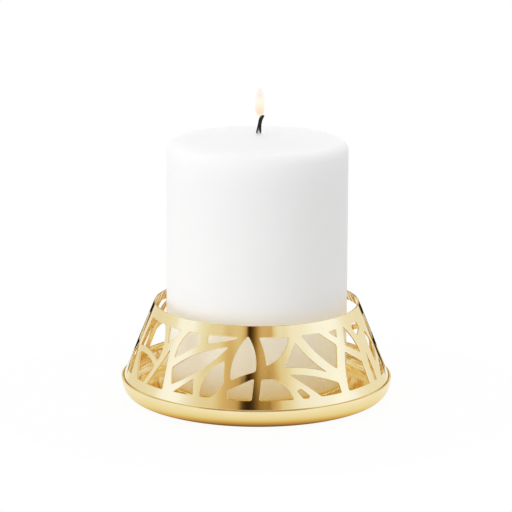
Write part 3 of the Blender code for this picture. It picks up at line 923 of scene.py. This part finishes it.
# The top swells by the square of (1 - share of the radius squared), and the skirt adds the square of
# (1 - share of the skirt's radius). The skirt leans to the wick's side, more the higher it is.
crown_radius = CANDLE_TOP_RADIUS - CANDLE_SHOULDER
crown = np.concatenate(
    [np.linspace(0, SKIRT_RADIUS, 16)[:-1], np.linspace(SKIRT_RADIUS, crown_radius, 30)]
)
crown_rise = CANDLE_CROWN * (1 - (crown / crown_radius) ** 2) ** 2
skirt_rise = SKIRT_RISE * np.clip(1 - crown / SKIRT_RADIUS, 0, 1) ** 2
candle_profile = np.concatenate(
    [
        np.stack([crown, CANDLE_TOP_Z + crown_rise + skirt_rise], 1),
        curved((crown_radius, CANDLE_TOP_Z - CANDLE_SHOULDER), CANDLE_SHOULDER, 90, 0, 20),
        straight(
            (CANDLE_TOP_RADIUS, CANDLE_TOP_Z - CANDLE_SHOULDER),
            (CANDLE_FOOT_RADIUS, CANDLE_FOOT_Z + CANDLE_FOOT_ROUND),
            40,
        ),
        curved(
            (CANDLE_FOOT_RADIUS - CANDLE_FOOT_ROUND, CANDLE_FOOT_Z + CANDLE_FOOT_ROUND),
            CANDLE_FOOT_ROUND,
            0,
            -90,
        ),
        straight(
            (CANDLE_FOOT_RADIUS - CANDLE_FOOT_ROUND, CANDLE_FOOT_Z), (RECESS_RADIUS, CANDLE_FOOT_Z), 20
        ),
        straight((RECESS_RADIUS, CANDLE_FOOT_Z), (RECESS_RADIUS, CANDLE_FOOT_Z + RECESS_DEPTH), 4),
        straight((RECESS_RADIUS, CANDLE_FOOT_Z + RECESS_DEPTH), (0, CANDLE_FOOT_Z + RECESS_DEPTH), 6),
    ]
)

# Paraffin wax cast in a mould: soft white that light sinks into for several millimetres, under a dry skin
# that shows no gloss. Crystals a little over a millimetre across leave a barely visible mottle, and the
# white is cloudy over a couple of centimetres.
WAX_CRYSTAL = 1.2
WAX_CLOUD = 18
WAX_DEPTH = 8
wax, tree, place = new_material("moulded_paraffin_wax")
crystals = add_node(
    tree, "ShaderNodeTexNoise", inputs={"Vector": place, "Scale": 1 / (WAX_CRYSTAL * MM), "Detail": 3.0}
)
cloud = add_node(
    tree, "ShaderNodeTexNoise", inputs={"Vector": place, "Scale": 1 / (WAX_CLOUD * MM), "Detail": 2.0}
)
wax_tone = add_node(tree, "ShaderNodeValToRGB", inputs={"Fac": cloud.outputs["Fac"]})
set_ramp(wax_tone.color_ramp, [(0.3, linear("#FAFAFB")), (0.7, linear("#FCFCFD"))])
wax_skin = add_node(
    tree,
    "ShaderNodeBump",
    inputs={"Strength": 0.15, "Distance": 0.02 * MM, "Height": crystals.outputs["Fac"]},
)
wax_body = add_node(
    tree,
    "ShaderNodeBsdfPrincipled",
    inputs={
        "Base Color": wax_tone.outputs["Color"],
        "Roughness": 0.42,
        "IOR": 1.43,
        "Specular IOR Level": 0.0,
        "Subsurface Weight": 1.0,
        "Subsurface Radius": (1.0, 1.0, 1.0),
        "Subsurface Scale": WAX_DEPTH * MM,
        "Normal": wax_skin.outputs[0],
    },
)
add_node(tree, "ShaderNodeOutputMaterial", inputs={"Surface": wax_body.outputs[0]})

candle_points, candle_faces = turned(candle_profile, CANDLE_AROUND)
lean_share = np.clip((candle_points[:, 2] - CANDLE_TOP_Z) / SKIRT_LEAN_RISE, 0, 1)
candle_points[:, 0] += SKIRT_LEAN * lean_share
candle = add_piece("pillar_candle", candle_points, candle_faces, wax)
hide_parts("candle")
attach(candle, "candle")


# Wick
# A flat-braided cotton cord that runs through the candle from the clip in its foot. Above the wax it has
# burnt black and leans to one side; at the wax it is soaked and grey.
WICK_RADIUS = 0.85
WICK_FOOT_Z = 7.9
WICK_BEND = ((0.0, 114.6), (0.9, 119.5), (0.6, 125.6), (2.9, 125.0))
WICK_AROUND = 28
WICK_SPREAD = 0.33
WICK_SPREAD_Z = 117.8
WICK_SPREAD_REACH = 2.2
WICK_TIP = 0.9
WICK_TIP_SHARE = 0.12
BRAID_PITCH = 1.6
BRAID_DEPTH = 0.07

# Above the wax it follows a cubic Bezier curve with the four given points. Its radius is that of the cord,
# plus a bell-shaped spread above the wax, plus the strands, which are the product of two cosine waves that
# wind in opposite ways. It falls as a square root over the last 0.9 mm.
low_run = np.linspace(WICK_FOOT_Z, WICK_BEND[0][1], 30)
rise = np.linspace(0, 1, 90)
fall = 1 - rise
bend_shares = np.stack([fall**3, 3 * rise * fall**2, 3 * rise**2 * fall, rise**3], 1)
wick_path = np.concatenate([np.stack([0 * low_run, low_run], 1)[:-1], bend_shares @ np.array(WICK_BEND)])
wick_way = np.gradient(wick_path, axis=0)
wick_way /= np.hypot(*wick_way.T)[:, None]
wick_round = np.arange(WICK_AROUND) * 2 * np.pi / WICK_AROUND
along_wick = np.concatenate([[0], np.cumsum(np.hypot(*np.diff(wick_path, axis=0).T))])
wound = 2 * np.pi * along_wick[:, None] / BRAID_PITCH
braid = np.cos(3 * wick_round + wound) * np.cos(3 * wick_round - wound)
end_taper = np.sqrt(np.clip((along_wick[-1] - along_wick) / WICK_TIP, 0, 1))
end_taper[-1] = WICK_TIP_SHARE
spread = WICK_SPREAD * np.exp(-(((wick_path[:, 1:] - WICK_SPREAD_Z) / WICK_SPREAD_REACH) ** 2))
reach = (WICK_RADIUS + spread - BRAID_DEPTH + BRAID_DEPTH * braid) * end_taper[:, None]
side_way = np.stack([wick_way[:, 1], np.zeros(len(wick_way)), -wick_way[:, 0]], 1)
wick_points = (
    np.stack([wick_path[:, 0], 0 * wick_path[:, 0], wick_path[:, 1]], 1)[:, None]
    + side_way[:, None] * (reach * np.cos(wick_round))[..., None]
    + np.array([0.0, 1.0, 0.0]) * (reach * np.sin(wick_round))[..., None]
)
wick_index = np.arange(len(wick_points) * WICK_AROUND).reshape(-1, WICK_AROUND)
wick_after = np.roll(wick_index, -1, 1)
wick_quads = np.stack([wick_index[:-1], wick_after[:-1], wick_after[1:], wick_index[1:]], -1)
wick_faces = [*wick_quads.reshape(-1, 4).tolist(), wick_index[0, ::-1].tolist(), wick_index[-1].tolist()]

# Burnt cotton: matt black char with fibres about 0.15 mm apart, fading to waxy grey at the candle. The wax
# has soaked up higher in the cord's middle than at its sides.
CHAR_FIBRE = 0.15
SOAKED_Z = 118.8
BURNT_Z = 120.6
SIDE_SOONER = 2.6
char, tree, place = new_material("charred_cotton_braid")
fibres = add_node(
    tree, "ShaderNodeTexNoise", inputs={"Vector": place, "Scale": 1 / (CHAR_FIBRE * MM), "Detail": 4.0}
)
up = add_node(tree, "ShaderNodeSeparateXYZ", inputs={0: place})
aside = add_node(
    tree, "ShaderNodeMath", {"operation": "SUBTRACT"}, {0: up.outputs["X"], 1: SKIRT_LEAN * MM}
).outputs[0]
aside = add_node(tree, "ShaderNodeMath", {"operation": "ABSOLUTE"}, {0: aside}).outputs[0]
soaked = add_node(
    tree, "ShaderNodeMath", {"operation": "MULTIPLY_ADD"}, {0: aside, 1: SIDE_SOONER, 2: up.outputs["Z"]}
).outputs[0]
burnt = add_node(
    tree,
    "ShaderNodeMapRange",
    inputs={"Value": soaked, "From Min": SOAKED_Z * MM, "From Max": BURNT_Z * MM},
)
char_tone = add_node(tree, "ShaderNodeValToRGB", inputs={"Fac": burnt.outputs["Result"]})
set_ramp(
    char_tone.color_ramp, [(0.0, linear("#DAD9D2")), (0.45, linear("#6E6C64")), (1.0, linear("#120F0A"))]
)
char_bump = add_node(
    tree, "ShaderNodeBump", inputs={"Strength": 0.6, "Distance": 0.05 * MM, "Height": fibres.outputs["Fac"]}
)
char_body = add_node(
    tree,
    "ShaderNodeBsdfPrincipled",
    inputs={"Base Color": char_tone.outputs["Color"], "Roughness": 0.85, "Normal": char_bump.outputs[0]},
)
add_node(tree, "ShaderNodeOutputMaterial", inputs={"Surface": char_body.outputs[0]})

wick = add_piece("cotton_wick", wick_points.reshape(-1, 3), wick_faces, char)
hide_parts("wick")
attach(wick, "candle")


# Flame
# Burning wax vapour round the wick's tip: a pale drop, deeper yellow low down, that is brightest inside
# and fades to nothing at its edge, so it is drawn as thin shells one inside another.
FLAME_FOOT_Z = 123.8
FLAME_TIP_Z = 138.3
FLAME_RADIUS = 2.3
FLAME_MIDDLE = 0.95
FLAME_SHELLS = (1.0, 0.86, 0.7, 0.52)

# Glowing vapour: it gives light and hides little, so each shell covers only a small share of what is behind
# it. Its colours go by height, moved up and down by a millimetre over every 6 mm or so.
FLAME_FLICKER = 6
FLAME_WANDER = 1
vapour, tree, place = new_material("burning_wax_vapour")
up = add_node(tree, "ShaderNodeSeparateXYZ", inputs={0: place})
flicker = add_node(
    tree, "ShaderNodeTexNoise", inputs={"Vector": place, "Scale": 1 / (FLAME_FLICKER * MM), "Detail": 1.0}
)
wander = add_node(
    tree,
    "ShaderNodeMath",
    {"operation": "MULTIPLY_ADD"},
    {0: flicker.outputs["Fac"], 1: 2 * FLAME_WANDER * MM, 2: up.outputs["Z"]},
)
rise_share = add_node(
    tree,
    "ShaderNodeMapRange",
    inputs={
        "Value": wander.outputs[0],
        "From Min": (FLAME_FOOT_Z + FLAME_WANDER) * MM,
        "From Max": (FLAME_TIP_Z + FLAME_WANDER) * MM,
    },
)
heat = add_node(tree, "ShaderNodeValToRGB", inputs={"Fac": rise_share.outputs["Result"]})
set_ramp(
    heat.color_ramp,
    [
        (0.0, linear("#F4D6AC")), (0.22, linear("#FFD6A0")), (0.5, linear("#FDF9D5")),
        (0.83, linear("#F7D5A6")), (1.0, linear("#F0CCA0")),
    ],
)
cover = add_node(tree, "ShaderNodeValToRGB", inputs={"Fac": rise_share.outputs["Result"]})
set_ramp(
    cover.color_ramp, [(0.0, 0.02), (0.1, 0.03), (0.22, 0.14), (0.5, 0.085), (0.83, 0.065), (1.0, 0.05)]
)
clear = add_node(tree, "ShaderNodeBsdfTransparent")
light = add_node(tree, "ShaderNodeEmission", inputs={"Color": heat.outputs["Color"], "Strength": 1.0})
blend = add_node(
    tree,
    "ShaderNodeMixShader",
    inputs={0: cover.outputs["Color"], 1: clear.outputs[0], 2: light.outputs[0]},
)
add_node(tree, "ShaderNodeOutputMaterial", inputs={"Surface": blend.outputs[0]})

# A shell's width goes as the square root of the share of its height, times what is left of the share
# to the power of the taper, and the factor makes its widest place the given radius. A smaller shell starts
# higher and is shorter by the square root of its size.
FLAME_TAPER = 0.65
FLAME_FACTOR = 2.2
FLAME_RISE = 2
FLAME_LEVELS = 41
FLAME_AROUND = 48
flame_points = []
flame_faces = []
for size in FLAME_SHELLS:
    share = (1 - np.cos(np.linspace(0, np.pi, FLAME_LEVELS))) / 2
    width = FLAME_RADIUS * size * FLAME_FACTOR * np.sqrt(share) * (1 - share) ** FLAME_TAPER
    level = FLAME_FOOT_Z + (1 - size) * FLAME_RISE + (FLAME_TIP_Z - FLAME_FOOT_Z) * size**0.5 * share
    width[[0, -1]] = 0
    shell_profile = np.stack([width, level], 1)[::-1]
    shell_points, shell_faces = turned(shell_profile, FLAME_AROUND, (FLAME_MIDDLE, 0.0))
    flame_faces += [[i + sum(map(len, flame_points)) for i in face] for face in shell_faces]
    flame_points.append(shell_points)
flame = add_piece("flame", np.concatenate(flame_points), flame_faces, vapour)

# A real flame's light on the wax is lost in the studio's, so it lights no matt surface.
flame.visible_diffuse = False
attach(flame, "candle")


# Wick clip
# A disc pressed from tinned steel, with a short neck crimped round the wick. It sits in a recess in the
# candle's foot and shows only from below.
CLIP_RADIUS = 6.0
CLIP_THICKNESS = 0.4
CLIP_NECK_OUTER = 1.55
CLIP_NECK_INNER = 1.15
CLIP_NECK_Z = 12.9
CLIP_AROUND = 96

# Sizes of the bend at the neck's foot, with the place of its middle point, and of the disc's rounded edge
CLIP_BEND = 0.5
CLIP_BEND_MIDDLE = 0.15
CLIP_EDGE = 0.12

# The profile is closed: its last point is its first, so the last ring of points is left out
clip_top = CANDLE_FOOT_Z + CLIP_THICKNESS
clip_profile = np.array(
    [
        (CLIP_NECK_INNER, CLIP_NECK_Z),
        (CLIP_NECK_OUTER, CLIP_NECK_Z),
        (CLIP_NECK_OUTER, clip_top + CLIP_BEND),
        (CLIP_NECK_OUTER + CLIP_BEND_MIDDLE, clip_top + CLIP_BEND_MIDDLE),
        (CLIP_NECK_OUTER + CLIP_BEND, clip_top),
        (CLIP_RADIUS - CLIP_EDGE, clip_top),
        (CLIP_RADIUS, clip_top - CLIP_EDGE),
        (CLIP_RADIUS, CANDLE_FOOT_Z + CLIP_EDGE),
        (CLIP_RADIUS - CLIP_EDGE, CANDLE_FOOT_Z),
        (CLIP_NECK_INNER + CLIP_BEND, CANDLE_FOOT_Z),
        (CLIP_NECK_INNER + CLIP_BEND_MIDDLE, CANDLE_FOOT_Z + CLIP_BEND_MIDDLE),
        (CLIP_NECK_INNER, CANDLE_FOOT_Z + CLIP_BEND),
        (CLIP_NECK_INNER, CLIP_NECK_Z),
    ]
)

# Tinned sheet steel: a bright grey that the press has left slightly frosted, with faint drawing lines
# along X, about a sixth of a millimetre apart.
tin, tree, place = new_material("pressed_tinplate")
drawn = add_node(tree, "ShaderNodeMapping", inputs={"Vector": place, "Scale": (1.0, 12.0, 12.0)})
lines = add_node(
    tree, "ShaderNodeTexNoise", inputs={"Vector": drawn.outputs[0], "Scale": 1 / (2 * MM), "Detail": 3.0}
)
frost = add_node(
    tree, "ShaderNodeMapRange", inputs={"Value": lines.outputs["Fac"], "To Min": 0.22, "To Max": 0.4}
)
tin_body = add_node(
    tree,
    "ShaderNodeBsdfPrincipled",
    inputs={"Base Color": linear("#C9CACC"), "Metallic": 1.0, "Roughness": frost.outputs["Result"]},
)
add_node(tree, "ShaderNodeOutputMaterial", inputs={"Surface": tin_body.outputs[0]})

clip_points, clip_faces = turned(clip_profile, CLIP_AROUND)
clip_points = clip_points[:-CLIP_AROUND]
clip_faces = [[i % len(clip_points) for i in face] for face in clip_faces]
clip = add_piece("tin_clip", clip_points, clip_faces, tin)
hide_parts("wick_clip")
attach(clip, "candle")


# Felt pads
# Four discs punched from pressed black felt and glued under the dish's foot, so that the metal doesn't
# scratch the table.
PAD_RADIUS = 3.0
PAD_THICKNESS = 0.8
PAD_RING = 47.1
PAD_EDGE = 0.15
PAD_AROUND = 48
FELT_NAP = 0.35

# Pressed wool felt: black with a grey bloom of loose fibres about a third of a millimetre apart.
felt, tree, place = new_material("pressed_wool_felt")
nap = add_node(
    tree, "ShaderNodeTexNoise", inputs={"Vector": place, "Scale": 1 / (FELT_NAP * MM), "Detail": 5.0}
)
nap_tone = add_node(tree, "ShaderNodeValToRGB", inputs={"Fac": nap.outputs["Fac"]})
set_ramp(nap_tone.color_ramp, [(0.35, linear("#161616")), (0.7, linear("#3A3A3A"))])
nap_bump = add_node(
    tree, "ShaderNodeBump", inputs={"Strength": 0.8, "Distance": 0.1 * MM, "Height": nap.outputs["Fac"]}
)
felt_body = add_node(
    tree,
    "ShaderNodeBsdfPrincipled",
    inputs={
        "Base Color": nap_tone.outputs["Color"],
        "Roughness": 0.95,
        "Sheen Weight": 0.3,
        "Normal": nap_bump.outputs[0],
    },
)
add_node(tree, "ShaderNodeOutputMaterial", inputs={"Surface": felt_body.outputs[0]})

pad_profile = np.concatenate(
    [
        straight((0, PAD_THICKNESS), (PAD_RADIUS - PAD_EDGE, PAD_THICKNESS), 6),
        curved((PAD_RADIUS - PAD_EDGE, PAD_THICKNESS - PAD_EDGE), PAD_EDGE, 90, 0, 4),
        curved((PAD_RADIUS - PAD_EDGE, PAD_EDGE), PAD_EDGE, 0, -90, 4),
        straight((PAD_RADIUS - PAD_EDGE, 0), (0, 0), 6),
    ]
)
for number in range(1, 5):
    angle = math.radians(90 * number - 45)
    pad_place = (PAD_RING * math.cos(angle), PAD_RING * math.sin(angle))
    pad = add_piece(f"felt_disc_{number}", *turned(pad_profile, PAD_AROUND, pad_place), felt)
    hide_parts(f"felt_pad_{number}")
    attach(pad, "stand")
